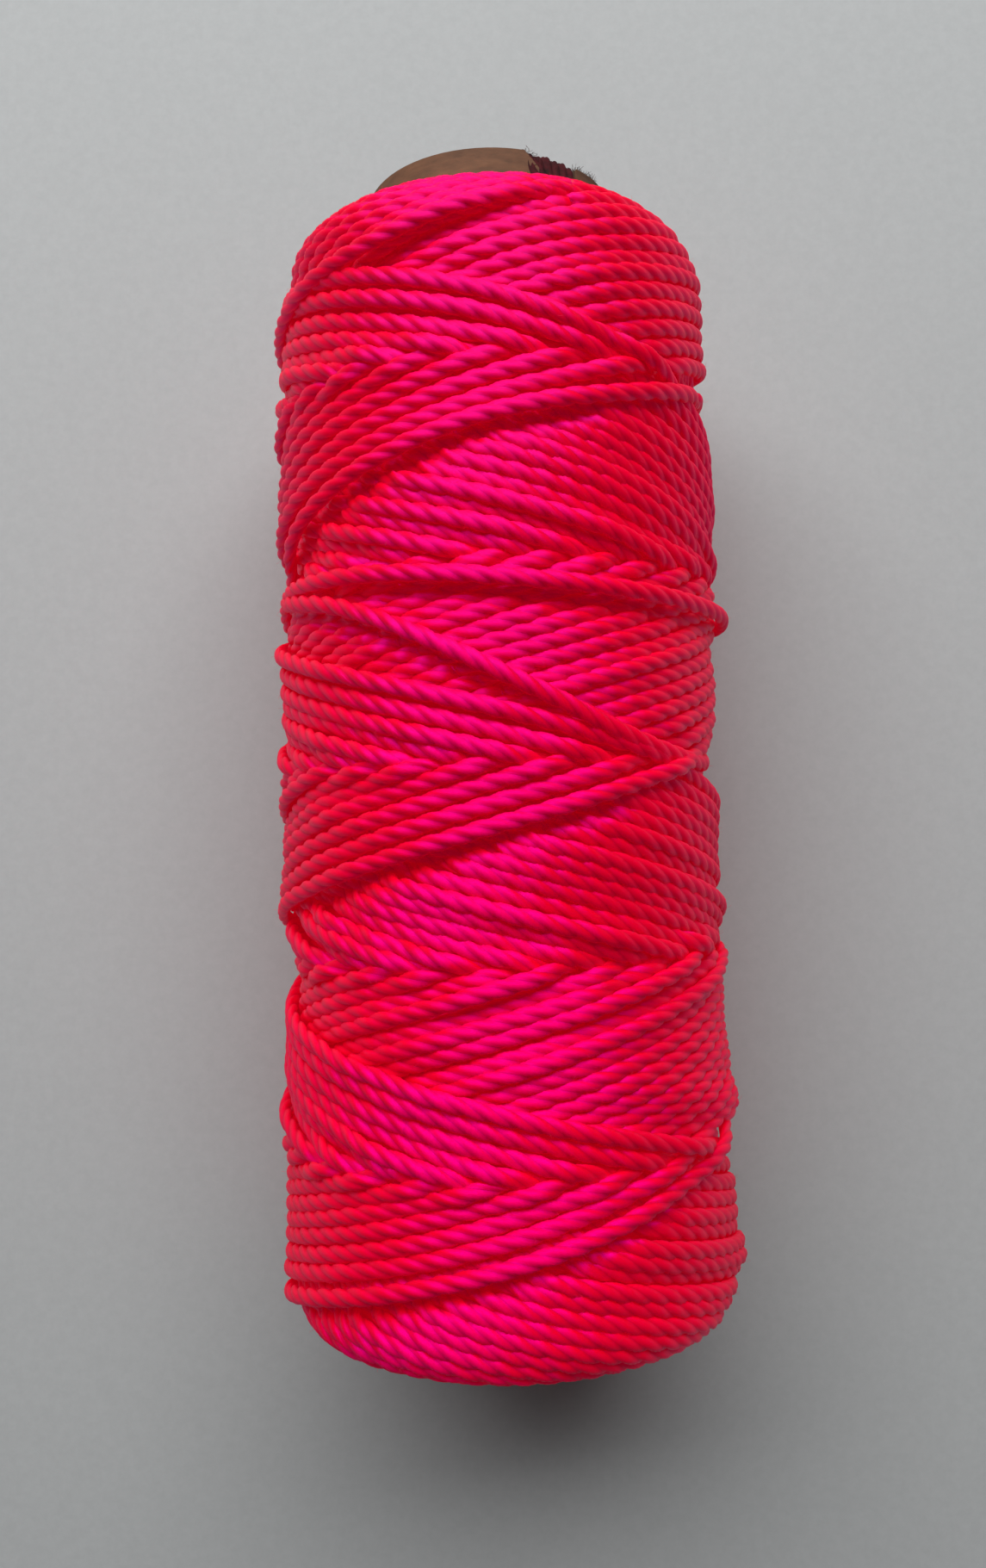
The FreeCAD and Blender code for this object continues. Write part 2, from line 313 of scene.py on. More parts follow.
# How far each place is pressed down or let up, so that the package stays round
def evenOut(pile, strength):
    columns, cells = pile.shape
    stations = (np.arange(cells) * winding["cell"]) - winding["halfSpan"]
    inside = (np.abs(stations) < winding["evenSpan"]).astype(float)[None, :] * np.ones((columns, 1))
    around, along = gaussian(columns, winding["evenColumns"]), gaussian(cells, winding["evenCells"])
    kernel = around[:, None] * along[None, :]
    total = np.fft.ifft2(np.fft.fft2(pile * inside) * kernel).real
    weight = np.fft.ifft2(np.fft.fft2(inside) * kernel).real
    broad = total / np.maximum(weight, 0.02)
    mean = broad[:, np.abs(stations) < winding["meanSpan"]].mean()
    return np.clip((mean / np.maximum(broad, 0.3)), 0.5, 1.6) ** strength


def layHeights(index, turn, station):
    columns, cell = winding["columns"], winding["cell"]
    cells = int(2 * winding["halfSpan"] / cell)
    pile = np.zeros((columns, cells))
    halfWidth, halfHeight = winding["layHalfWidth"], winding["layHalfHeight"]
    reach = int(math.ceil(halfWidth / cell)) + 1
    heights = np.zeros(len(turn))
    pressed = np.zeros(len(turn))
    cuts = []
    for cycle in range(winding["startCycle"], 3):
        cuts += [topTurns[cycle], topTurns[cycle] + forward]
    byRule = handStart + 0.1
    cuts = [c for c in cuts if c < byRule] + finishingCuts + [turn[-1] + 1]
    cuts.sort()
    column = np.mod(index, columns)
    place = (station + winding["halfSpan"]) / cell
    nearest = np.round(place).astype(int)
    pressing = np.zeros((columns, cells))
    innerPile, innerPressing = None, None
    for begin, end in zip(cuts[:-1], cuts[1:]):
        a, b = np.searchsorted(turn, begin), np.searchsorted(turn, end)
        if b <= a:
            continue
        if innerPile is None and begin > outerStart - 0.1:
            innerPile, innerPressing = pile.copy(), pressing.copy()
        raw = np.full(b - a, -1.0)
        for o in range(-reach, reach + 1):
            distance = (nearest[a:b] + o - place[a:b]) * cell / halfWidth
            lift = halfHeight * np.sqrt(np.clip(1 - distance ** 2, 0, 1))
            lift = np.where(np.abs(distance) < 1, lift, -99.0)
            raw = np.maximum(raw, pile[column[a:b], nearest[a:b] + o] + lift)
        spread = raw.copy()
        for o in (1, 2):
            spread[o:] = np.maximum(spread[o:], raw[:-o])
            spread[:-o] = np.maximum(spread[:-o], raw[o:])
        first = max(0, a - winding["lookBack"])
        lead = heights[first:a]
        smooth = smoothRun(np.concatenate([lead, spread]), winding["stiffness"])[len(lead):]
        if begin > byRule:
            typical = np.median(pile[:, 60:-60])
            smooth = np.minimum(smooth, typical + winding["proudLimit"])
        ends = np.abs(station[a:b]) > 55
        if ends.any():
            typical = np.median(pile[:, 90:-90])
            most = winding["endLimit"]
            limited = typical + most * np.tanh((smooth - typical) / most)
            share = np.clip((np.abs(station[a:b]) - 54) / 4, 0, 1)
            smooth = smooth * (1 - share) + limited * share
        heights[a:b] = smooth
        pressed[a:b] = pressing[column[a:b], nearest[a:b]]
        for o in range(-reach, reach + 1):
            distance = (nearest[a:b] + o - place[a:b]) * cell / halfWidth
            top = smooth + halfHeight * np.sqrt(np.clip(1 - distance ** 2, 0, 1))
            top = np.where(np.abs(distance) < 1, top, -99.0)
            np.maximum.at(pile, (column[a:b], nearest[a:b] + o), top)
        even = evenOut(pile, 0.5)
        pile *= even
        pressing += np.log(even)
        # what is already laid here moves with its place
        factor = even[column[first:b], nearest[first:b]]
        heights[first:b] *= factor
        pressed[first:b] += np.log(factor)
    heights *= np.exp(pressing[column, nearest] - pressed)
    # the very last of the twine is drawn down between its neighbours
    heights -= winding["lastDrop"] * np.clip((turn - 9.98) / 0.06, 0, 1)
    innerPile *= np.exp(pressing - innerPressing)
    return heights, pile, innerPile


# The older turns just below the newest ones' edges lie sunk, as deep as the photo's shadows ask for
def sinkBesideEdges(index, turn, station, heights):
    column = np.mod(index, winding["columns"])
    nearest = np.round((station + winding["halfSpan"]) / winding["cell"]).astype(int)
    ditch = np.zeros((winding["columns"], int(2 * winding["halfSpan"] / winding["cell"])))
    newest = turn > topTurns[0]
    for o in range(1, 22):
        away = (o * winding["cell"] - winding["ditchMiddle"]) / winding["ditchWidth"]
        place = np.minimum(nearest[newest] + o, ditch.shape[1] - 1)
        np.maximum.at(ditch, (column[newest], place), winding["ditchDepth"] * math.exp(-away * away))
    older = turn < topTurns[-3]
    facing = np.abs(np.cos(2 * math.pi * turn[older]))
    share = np.clip((facing - 0.35) / 0.3, 0, 1)
    heights[older] -= ditch[column[older], nearest[older]] * share
    return heights


pathIndex, pathTurn, pathStation = layPath()
pathHeight, pile, innerPile = layHeights(pathIndex, pathTurn, pathStation)
print("winding laid:", len(pathTurn), "samples")

outerMean = np.median(pile[:, 100:-100]) - winding["layHalfHeight"]
innerRadius = winding["tubeRadius"]
heightScale = (winding["outerRadius"] - innerRadius) / outerMean


def packagePlace(angle, station, height):
    radius = winding["shoulderRadius"]
    over = np.clip(np.abs(station) - winding["shoulderStart"], 0, radius * 1.35) / radius
    straight = np.minimum(np.abs(station), winding["shoulderStart"])
    along = np.sign(station) * (straight + radius * np.sin(over))
    share = np.clip(height / outerMean, 0, 1.2)
    deep = innerRadius + height * heightScale
    near = winding["outerRadius"] + (height - outerMean)
    blend = np.clip((height - outerMean + 5) / 3, 0, 1)
    out = deep * (1 - blend) + near * blend
    out = out + winding["taper"] * along * share - radius * (1 - np.cos(over)) * share
    for at, level, amount, wide, tall in unevenness:
        turnAway = (np.degrees(angle) - at + 180) % 360 - 180
        away = (turnAway / wide) ** 2 + ((station - level) / tall) ** 2
        out = out + amount * share * np.exp(-0.5 * away)
    out = np.maximum(out, winding["tubeRadius"] + winding["clearOfTube"])
    y = winding["middle"] - along
    return np.stack([out * np.sin(angle), y, out * np.cos(angle)], axis=-1)


# Laid cord by Geometry Nodes: three strands swept along a path

cord = {
    "radius": 1.0,
    "strandOffset": 0.38,     # how far each strand's middle is from the cord's, of its radius
    "layLength": 8.0,
    "sidePoints": 15,
    "pressed": 0.25,          # share of its height that the soft cord loses under the next turns
}


def makeCordTree():
    tree = bpy.data.node_groups.new("laidCord", "GeometryNodeTree")
    face = tree.interface
    face.new_socket("Geometry", in_out="INPUT", socket_type="NodeSocketGeometry")
    for name in ("Cord radius", "Lay length"):
        face.new_socket(name, in_out="INPUT", socket_type="NodeSocketFloat")
    face.new_socket("Side points", in_out="INPUT", socket_type="NodeSocketInt")
    face.new_socket("Material", in_out="INPUT", socket_type="NodeSocketMaterial")
    face.new_socket("Geometry", in_out="OUTPUT", socket_type="NodeSocketGeometry")
    links = tree.links
    start = addNode(tree, "NodeGroupInput", (-1400, 0))
    end = addNode(tree, "NodeGroupOutput", (1600, 0))
    toCurve = addNode(tree, "GeometryNodeMeshToCurve", (-1100, 100))
    links.new(start.outputs["Geometry"], toCurve.inputs[0])

    outward = addNode(tree, "GeometryNodeInputNamedAttribute", (-1100, -100), data_type="FLOAT_VECTOR")
    outward.inputs["Name"].default_value = "outward"
    setNormal = addNode(tree, "GeometryNodeSetCurveNormal", (-850, 100), mode="FREE")
    links.new(toCurve.outputs[0], setNormal.inputs["Curve"])
    links.new(outward.outputs[0], setNormal.inputs["Normal"])

    runLength = addNode(tree, "GeometryNodeInputNamedAttribute", (-1100, -300), data_type="FLOAT")
    runLength.inputs["Name"].default_value = "runLength"
    lays = addMath(tree, "DIVIDE", runLength.outputs[0], start.outputs["Lay length"], (-850, -300))
    turnBy = addMath(tree, "MULTIPLY", lays, 2 * math.pi, (-700, -300))
    setTilt = addNode(tree, "GeometryNodeSetCurveTilt", (-600, 100))
    links.new(setNormal.outputs[0], setTilt.inputs["Curve"])
    links.new(turnBy, setTilt.inputs["Tilt"])

    thick = addNode(tree, "GeometryNodeInputNamedAttribute", (-600, -150), data_type="FLOAT")
    thick.inputs["Name"].default_value = "thick"
    setRadius = addNode(tree, "GeometryNodeSetCurveRadius", (-400, 100))
    links.new(setTilt.outputs[0], setRadius.inputs["Curve"])
    links.new(thick.outputs[0], setRadius.inputs["Radius"])
    keepRun = addNode(tree, "GeometryNodeCaptureAttribute", (-200, 100), domain="POINT")
    keepRun.capture_items.new("FLOAT", "Run")
    keepRun.capture_items.new("VECTOR", "Middle")
    keepRun.capture_items.new("VECTOR", "Outward")
    middle = addNode(tree, "GeometryNodeInputPosition", (-400, -100))
    links.new(setRadius.outputs[0], keepRun.inputs[0])
    links.new(lays, keepRun.inputs[1])
    links.new(middle.outputs[0], keepRun.inputs[2])
    links.new(outward.outputs[0], keepRun.inputs[3])

    # the section: three lobes, as an open ring whose ends meet in a valley
    count = addMath(tree, "ADD", start.outputs["Side points"], 1, (-1100, -600))
    line = addNode(tree, "GeometryNodeMeshLine", (-900, -600))
    links.new(count, line.inputs["Count"])
    ringCurve = addNode(tree, "GeometryNodeMeshToCurve", (-700, -600))
    links.new(line.outputs[0], ringCurve.inputs[0])
    position = addNode(tree, "GeometryNodeInputIndex", (-1100, -800))
    share = addMath(tree, "DIVIDE", position.outputs[0], start.outputs["Side points"], (-900, -800))
    phase = addMath(tree, "MULTIPLY", share, 2 * math.pi, (-750, -800))
    # one lobe: part of a circle set off from the cord's middle
    offset, circle = cord["strandOffset"], 1 - cord["strandOffset"]
    inLobe = addMath(tree, "MULTIPLY", share, 3.0, (-750, -950))
    inLobe = addMath(tree, "FRACT", inLobe, None, (-600, -950))
    inLobe = addMath(tree, "SUBTRACT", inLobe, 0.5, (-450, -950))
    swing = addMath(tree, "MULTIPLY", inLobe, 2 * math.pi / 3, (-300, -950))
    reach = addMath(tree, "COSINE", swing, None, (-150, -900))
    reach = addMath(tree, "MULTIPLY", reach, offset, (0, -900))
    across = addMath(tree, "SINE", swing, None, (-150, -1050))
    across = addMath(tree, "MULTIPLY", across, offset, (0, -1050))
    square = addMath(tree, "MULTIPLY", across, across, (100, -1050))
    left = addMath(tree, "SUBTRACT", circle ** 2, square, (200, -1050))
    size = addMath(tree, "ADD", reach, addMath(tree, "SQRT", left, None, (300, -1050)), (350, -900))
    size = addMath(tree, "MULTIPLY", size, start.outputs["Cord radius"], (450, -900))
    x = addMath(tree, "MULTIPLY", addMath(tree, "COSINE", phase, None, (100, -700)), size, (350, -750))
    y = addMath(tree, "MULTIPLY", addMath(tree, "SINE", phase, None, (100, -1100)), size, (350, -1050))
    spot = addNode(tree, "ShaderNodeCombineXYZ", (500, -850))
    links.new(x, spot.inputs[0])
    links.new(y, spot.inputs[1])
    shape = addNode(tree, "GeometryNodeSetPosition", (300, -600))
    links.new(ringCurve.outputs[0], shape.inputs["Geometry"])
    links.new(spot.outputs[0], shape.inputs["Position"])
    keepShare = addNode(tree, "GeometryNodeCaptureAttribute", (500, -600), domain="POINT")
    keepShare.capture_items.new("FLOAT", "Share")
    links.new(shape.outputs[0], keepShare.inputs[0])
    links.new(share, keepShare.inputs[1])

    sweep = addNode(tree, "GeometryNodeCurveToMesh", (600, 100))
    links.new(keepRun.outputs[0], sweep.inputs["Curve"])
    links.new(keepShare.outputs[0], sweep.inputs["Profile Curve"])
    uvVector = addNode(tree, "ShaderNodeCombineXYZ", (600, -200))
    links.new(keepShare.outputs[1], uvVector.inputs[0])
    links.new(keepRun.outputs[1], uvVector.inputs[1])
    # pressed flatter along the outward direction
    position = addNode(tree, "GeometryNodeInputPosition", (600, -400))
    away = addNode(tree, "ShaderNodeVectorMath", (750, -400), operation="SUBTRACT")
    links.new(position.outputs[0], away.inputs[0])
    links.new(keepRun.outputs[2], away.inputs[1])
    height = addNode(tree, "ShaderNodeVectorMath", (900, -400), operation="DOT_PRODUCT")
    links.new(away.outputs[0], height.inputs[0])
    links.new(keepRun.outputs[3], height.inputs[1])
    loss = addMath(tree, "MULTIPLY", height.outputs["Value"], -cord["pressed"], (1050, -400))
    move = addNode(tree, "ShaderNodeVectorMath", (1200, -400), operation="SCALE")
    links.new(keepRun.outputs[3], move.inputs[0])
    links.new(loss, move.inputs["Scale"])
    press = addNode(tree, "GeometryNodeSetPosition", (700, 250))
    links.new(sweep.outputs[0], press.inputs["Geometry"])
    links.new(move.outputs[0], press.inputs["Offset"])
    store = addNode(tree, "GeometryNodeStoreNamedAttribute", (800, 100),
                    data_type="FLOAT2", domain="CORNER")
    store.inputs["Name"].default_value = "UVMap"
    links.new(press.outputs[0], store.inputs["Geometry"])
    valueSocket = [s for s in store.inputs if s.name == "Value" and s.enabled][0]
    links.new(uvVector.outputs[0], valueSocket)
    merge = addNode(tree, "GeometryNodeMergeByDistance", (1000, 100))
    merge.inputs["Distance"].default_value = 0.000002
    links.new(store.outputs[0], merge.inputs["Geometry"])
    smooth = addNode(tree, "GeometryNodeSetShadeSmooth", (1150, 100))
    links.new(merge.outputs[0], smooth.inputs["Geometry"])
    real = addNode(tree, "GeometryNodeRealizeInstances", (1300, 100))
    links.new(smooth.outputs[0], real.inputs[0])
    paint = addNode(tree, "GeometryNodeSetMaterial", (1450, 100))
    links.new(real.outputs[0], paint.inputs["Geometry"])
    links.new(start.outputs["Material"], paint.inputs["Material"])
    links.new(paint.outputs[0], end.inputs[0])
    return tree


cordTree = makeCordTree()


def setInput(modifier, tree, name, value):
    for item in tree.interface.items_tree:
        if item.item_type == "SOCKET" and item.in_out == "INPUT" and item.name == name:
            modifier[item.identifier] = value


def addValues(mesh, name, kind, values):
    field = "vector" if kind == "FLOAT_VECTOR" else "value"
    attribute = mesh.attributes.new(name, kind, "POINT")
    attribute.data.foreach_set(field, values.astype(np.float32).ravel())


def bakeNodes(holder, name):
    graph = bpy.context.evaluated_depsgraph_get()
    graph.update()
    mesh = bpy.data.meshes.new_from_object(holder.evaluated_get(graph), depsgraph=graph)
    mesh.name = name
    piece = bpy.data.objects.new(name, mesh)
    scene.collection.objects.link(piece)
    old = holder.data
    holder.modifiers.clear()
    bpy.data.objects.remove(holder)
    bpy.data.meshes.remove(old)
    return piece


# Each run is its points in mm, the outward directions, the lengths run so far and the thickness
def sweepCord(name, runs, radius=cord["radius"]):
    points = np.concatenate([r[0] for r in runs]) * mm
    edges = []
    start = 0
    for r in runs:
        n = len(r[0])
        first = np.arange(start, start + n - 1)
        edges.append(np.stack([first, first + 1], axis=1))
        start += n
    edges = np.concatenate(edges)
    mesh = bpy.data.meshes.new(name + "Path")
    mesh.vertices.add(len(points))
    mesh.vertices.foreach_set("co", points.astype(np.float32).ravel())
    mesh.edges.add(len(edges))
    mesh.edges.foreach_set("vertices", edges.astype(np.int32).ravel())
    addValues(mesh, "outward", "FLOAT_VECTOR", np.concatenate([r[1] for r in runs]))
    addValues(mesh, "runLength", "FLOAT", np.concatenate([r[2] for r in runs]) * mm)
    addValues(mesh, "thick", "FLOAT", np.concatenate([r[3] for r in runs]))
    mesh.update()
    holder = bpy.data.objects.new(name + "Holder", mesh)
    scene.collection.objects.link(holder)
    modifier = holder.modifiers.new("laidCord", "NODES")
    modifier.node_group = cordTree
    setInput(modifier, cordTree, "Cord radius", radius * mm)
    setInput(modifier, cordTree, "Lay length", cord["layLength"] * mm)
    setInput(modifier, cordTree, "Side points", cord["sidePoints"])
    setInput(modifier, cordTree, "Material", twineMaterial)
    return bakeNodes(holder, name)


# The outer turns of the winding, each piece a few cycles of the one twine

angles = 2 * math.pi * pathTurn
sunkHeight = sinkBesideEdges(pathIndex, pathTurn, pathStation, pathHeight.copy())
places = packagePlace(angles, pathStation, sunkHeight)
outwards = np.stack([np.sin(angles), 0 * angles, np.cos(angles)], axis=-1)
lengths = np.concatenate([[0], np.cumsum(np.linalg.norm(np.diff(places, axis=0), axis=1))])
columnOf = np.mod(pathIndex, winding["columns"])


def shownSamples(heights):
    cell = winding["cell"]
    place = (pathStation + winding["halfSpan"]) / cell
    shown = np.zeros(len(pathTurn), bool)
    for o in (-4, -2, 0, 2, 4):
        near = np.clip(np.round(place).astype(int) + o, 0, pile.shape[1] - 1)
        edge = 1 - (o * cell / cord["radius"] / 0.97) ** 2
        top = heights + winding["layHalfHeight"] * math.sqrt(max(edge, 0))
        shown |= pile[columnOf, near] < top + 0.25
    wide = shown.copy()
    for o in range(1, 7):
        wide[o:] |= shown[:-o]
        wide[:-o] |= shown[o:]
    return wide


shown = shownSamples(pathHeight)
keep = shown | (pathIndex % 5 == 0)
limit = 196000 // (2 * cord["sidePoints"])     # samples in one piece, for its triangle count
outerKept = np.nonzero(keep & (pathTurn >= outerStart))[0]
pieces = []
groups = int(math.ceil(len(outerKept) / limit))
bounds = np.linspace(0, len(outerKept) - 1, groups + 1).astype(int)
for number in range(groups):
    chosen = outerKept[bounds[number]:bounds[number + 1] + 1]
    run = (places[chosen], outwards[chosen], lengths[chosen], np.ones(len(chosen)))
    pieces.append(sweepCord("outerTurns" + str(number + 1), [run]))
print("outer turns:", len(outerKept), "samples in", groups, "pieces")


# The reversals of the older turns, seen on the package's two ends

endRuns = []
for cycle in range(winding["startCycle"] + 1, 1 - winding["outerCycles"]):
    for vertex in (topTurns[cycle], topTurns[cycle] + forward):
        near = np.nonzero(np.abs(pathTurn - vertex) < 0.15)[0]
        if len(near) > 20:
            near = near[::2]
            endRuns.append((places[near], outwards[near], lengths[near], np.ones(len(near))))
endPieces = []
groups = int(math.ceil(sum(len(r[0]) for r in endRuns) / limit))
for number in range(groups):
    endPieces.append(sweepCord("olderReversals" + str(number + 1), endRuns[number::groups]))
print("older reversals:", len(endRuns))


# The older turns under the surface, as one closed body with their bumps

innerShape = {
    "halfLength": 60.4,
    "rows": 230,
    "highest": 1.2,           # over the typical height, mm
    "inset": 0.1,             # how far it lies under the cords' laid height, mm
}


def makeInnerBody():
    rows = innerPile[::2, :]
    half = innerShape["halfLength"]
    columns = rows.shape[0]
    angle = 2 * math.pi * np.arange(columns) / columns
    highest = np.median(rows[:, 100:-100]) + innerShape["highest"]
    verts = []
    for station in np.linspace(-half, half, innerShape["rows"]):
        spot = int(round((station + winding["halfSpan"]) / winding["cell"]))
        height = np.minimum(rows[:, spot], highest)
        verts.append(packagePlace(angle, np.full(columns, station), height - innerShape["inset"]))
    rowsTotal = len(verts) + 2
    for station in (half, -half):
        y = winding["middle"] - station
        radius = winding["tubeRadius"] + 0.02
        verts.append(np.stack([radius * np.sin(angle), 0 * angle + y, radius * np.cos(angle)], axis=-1))
    verts = np.concatenate(verts) * mm
    faces = []
    for r in range(rowsTotal):
        q = (r + 1) % rowsTotal
        for c in range(columns):
            d = (c + 1) % columns
            faces.append((r * columns + c, r * columns + d, q * columns + d, q * columns + c))
    mesh = bpy.data.meshes.new("olderTurns")
    mesh.from_pydata(verts.tolist(), [], faces)
    uv = mesh.uv_layers.new(name="UVMap")
    corner = np.zeros(len(mesh.loops), np.int32)
    mesh.loops.foreach_get("vertex_index", corner)
    data = np.stack([(corner // columns) * 0.02, (corner % columns) * 0.05], axis=1)
    uv.data.foreach_set("uv", data.astype(np.float32).ravel())
    mesh.polygons.foreach_set("use_smooth", [True] * len(mesh.polygons))
    mesh.materials.append(twineMaterial)
    mesh.update()
    body = bpy.data.objects.new("olderTurns", mesh)
    scene.collection.objects.link(body)
    return body


innerBody = makeInnerBody()
print("older turns made")


# The twine's end, led over the package's edge and pressed into the torn notch

twineEnd = {
    "angle": 35.0,
    # angle, radius and CAD Y of the route from the package's edge down to the tube
    "overEdge": [(24.5, 21.6, 60.1), (27.5, 19.9, 60.5), (30.0, 18.2, 60.9), (32.0, 16.7, 61.5),
                 (33.8, 15.5, 62.5)],
    "strandRadius": 0.7,
    # sideways place at the rim and end of each strand, mm
    "strands": [(-3.9, 67.2), (-2.8, 67.0), (-1.7, 67.2), (-0.6, 67.0), (0.5, 67.1), (1.5, 66.9)],
    # near black: dirt on the end, and painted shade for the shade down in the notch
    "soiledAndShaded": (0.03, 0.0015, 0.003),
}


def bend(marks, count, sigma):
    marks = np.array(marks)
    dense = np.linspace(0, len(marks) - 1, count)
    columns = [smoothRun(np.interp(dense, np.arange(len(marks)), marks[:, i]), sigma) for i in range(3)]
    return np.stack(columns, axis=1)


def runSoFar(points):
    steps = np.linalg.norm(np.diff(points, axis=0), axis=1)
    return np.concatenate([[0], np.cumsum(steps)])


# Dirt and painted shade on the twine's end in the notch, mottled
def makeSoiledAndShadedMaterial():
    material, tree, shader = newMaterial("soiledAndShadedTwine")
    place = addNode(tree, "ShaderNodeTexCoord", (-900, 0))
    stains = addNoise(tree, place.outputs["Object"], 700.0, 4.0, 0.6, (-700, 0))
    dark = tuple(c * 0.5 for c in twineEnd["soiledAndShaded"])
    light = tuple(c * 2.4 for c in twineEnd["soiledAndShaded"])
    tone = addRamp(tree, stains, [(0.35, dark), (0.7, light)], (-450, 0))
    tree.links.new(tone, shader.inputs["Base Color"])
    shader.inputs["Roughness"].default_value = 0.8
    shader.inputs["Specular IOR Level"].default_value = 0.2
    addBump(tree, shader, stains, 0.6, 0.0002, place=(250, -250))
    return material


def makeTwineEnd():
    pieces = []
    route = [*places[-6:-1:2], places[-1]]
    for a, r, y in twineEnd["overEdge"]:
        route.append((r * math.sin(math.radians(a)), y, r * math.cos(math.radians(a))))
    points = bend(route, 70, 2.5)
    angle = math.radians(twineEnd["angle"])
    outward = np.tile([math.sin(angle), 0.6, math.cos(angle)], (len(points), 1))
    outward /= np.linalg.norm(outward, axis=1)[:, None]
    run = (points, outward, lengths[-6] + runSoFar(points), np.ones(len(points)))
    pieces.append(sweepCord("twineEndOverEdge", [run]))
    out = np.array([math.sin(angle), 0, math.cos(angle)])
    runs = []
    for shift, top in twineEnd["strands"]:
        marks = [(0.2 * shift - 0.2, 15.7, 61.6), (0.4 * shift - 0.1, 15.2, 62.8),
                 (0.7 * shift, 14.6, 64.2), (0.95 * shift, 14.3, 65.6), (shift, 14.15, top),
                 (shift, 13.2, top)]
        bends = []
        for s, r, y in marks:
            turned = angle + s / r   # the sideways place follows the curved wall
            bends.append((r * math.sin(turned), y, r * math.cos(turned)))
        line = bend(bends, 34, 1.5)
        thick = np.interp(np.arange(34), [0, 8, 25, 33], [0.8, 1.0, 1.15, 0.7])
        runs.append((line, np.tile(out, (34, 1)), runSoFar(line) * 0.4, thick))
    strands = sweepCord("twineEndInNotch", runs, twineEnd["strandRadius"])
    strands.data.materials.clear()
    strands.data.materials.append(makeSoiledAndShadedMaterial())
    pieces.append(strands)
    return pieces


twineEndPieces = makeTwineEnd()
print("twine's end made")


# Loose fibres by Geometry Nodes: nylon fuzz on the twine, torn paper along the notch

fibres = {
    "fuzz": 7500,
    "fuzzLength": 0.75,
    "fuzzRadius": 0.011,
    "paper": 600,
    "paperLength": 0.85,
    "paperRadius": 0.022,
    "fuzzColour": (0.9, 0.01, 0.09),
    "paperColour": (0.06, 0.022, 0.012),
    "seed": 3,
}


def makeFibreTree():
    tree = bpy.data.node_groups.new("looseFibres", "GeometryNodeTree")
    face = tree.interface
    face.new_socket("Geometry", in_out="INPUT", socket_type="NodeSocketGeometry")
    for name in ("Fibre length", "Fibre radius"):
        face.new_socket(name, in_out="INPUT", socket_type="NodeSocketFloat")
    face.new_socket("Seed", in_out="INPUT", socket_type="NodeSocketInt")
    face.new_socket("Material", in_out="INPUT", socket_type="NodeSocketMaterial")
    face.new_socket("Geometry", in_out="OUTPUT", socket_type="NodeSocketGeometry")
    links = tree.links
    start = addNode(tree, "NodeGroupInput", (-1200, 0))
    end = addNode(tree, "NodeGroupOutput", (900, 0))

    # one fibre, a bent thin tube
    length = start.outputs["Fibre length"]
    bent = addNode(tree, "GeometryNodeCurveQuadraticBezier", (-600, -300))
    bent.inputs["Resolution"].default_value = 4
    bent.inputs["Start"].default_value = (0, 0, 0)
    for name, x, z in (("Middle", 0.0, 0.5), ("End", 0.45, 0.8)):
        spot = addNode(tree, "ShaderNodeCombineXYZ", (-800, -300))
        links.new(addMath(tree, "MULTIPLY", length, x, (-950, -300)), spot.inputs[0])
        links.new(addMath(tree, "MULTIPLY", length, z, (-950, -450)), spot.inputs[2])
        links.new(spot.outputs[0], bent.inputs[name])
    ring = addNode(tree, "GeometryNodeCurvePrimitiveCircle", (-600, -550), mode="RADIUS")
    ring.inputs["Resolution"].default_value = 3
    links.new(start.outputs["Fibre radius"], ring.inputs["Radius"])
    fibre = addNode(tree, "GeometryNodeCurveToMesh", (-350, -350))
    fibre.inputs["Fill Caps"].default_value = True
    links.new(bent.outputs[0], fibre.inputs["Curve"])
    links.new(ring.outputs[0], fibre.inputs["Profile Curve"])

    # one on each point, along its direction, with its own roll and size
    direction = addNode(tree, "GeometryNodeInputNamedAttribute", (-800, 300), data_type="FLOAT_VECTOR")
    direction.inputs["Name"].default_value = "direction"
    align = addNode(tree, "FunctionNodeAlignRotationToVector", (-600, 300), axis="Z")
    links.new(direction.outputs[0], align.inputs["Vector"])
    roll = addNode(tree, "FunctionNodeRandomValue", (-800, 500), data_type="FLOAT_VECTOR")
    roll.inputs[0].default_value = (0, 0, 0)
    roll.inputs[1].default_value = (0, 0, 2 * math.pi)
    turned = addNode(tree, "FunctionNodeRotateRotation", (-400, 300), rotation_space="LOCAL")
    links.new(align.outputs[0], turned.inputs[0])
    links.new(roll.outputs[0], turned.inputs[1])
    sizes = addNode(tree, "FunctionNodeRandomValue", (-600, 100), data_type="FLOAT")
    sizes.inputs[2].default_value = 0.4
    sizes.inputs[3].default_value = 1.0
    for node in (roll, sizes):
        links.new(start.outputs["Seed"], node.inputs["Seed"])
    spread = addNode(tree, "GeometryNodeInstanceOnPoints", (0, 0))
    links.new(start.outputs["Geometry"], spread.inputs["Points"])
    links.new(fibre.outputs[0], spread.inputs["Instance"])
    links.new(turned.outputs[0], spread.inputs["Rotation"])
    links.new(sizes.outputs[1], spread.inputs["Scale"])
    real = addNode(tree, "GeometryNodeRealizeInstances", (300, 0))
    links.new(spread.outputs[0], real.inputs[0])
    paint = addNode(tree, "GeometryNodeSetMaterial", (600, 0))
    links.new(real.outputs[0], paint.inputs["Geometry"])
    links.new(start.outputs["Material"], paint.inputs["Material"])
    links.new(paint.outputs[0], end.inputs[0])
    return tree


fibreTree = makeFibreTree()


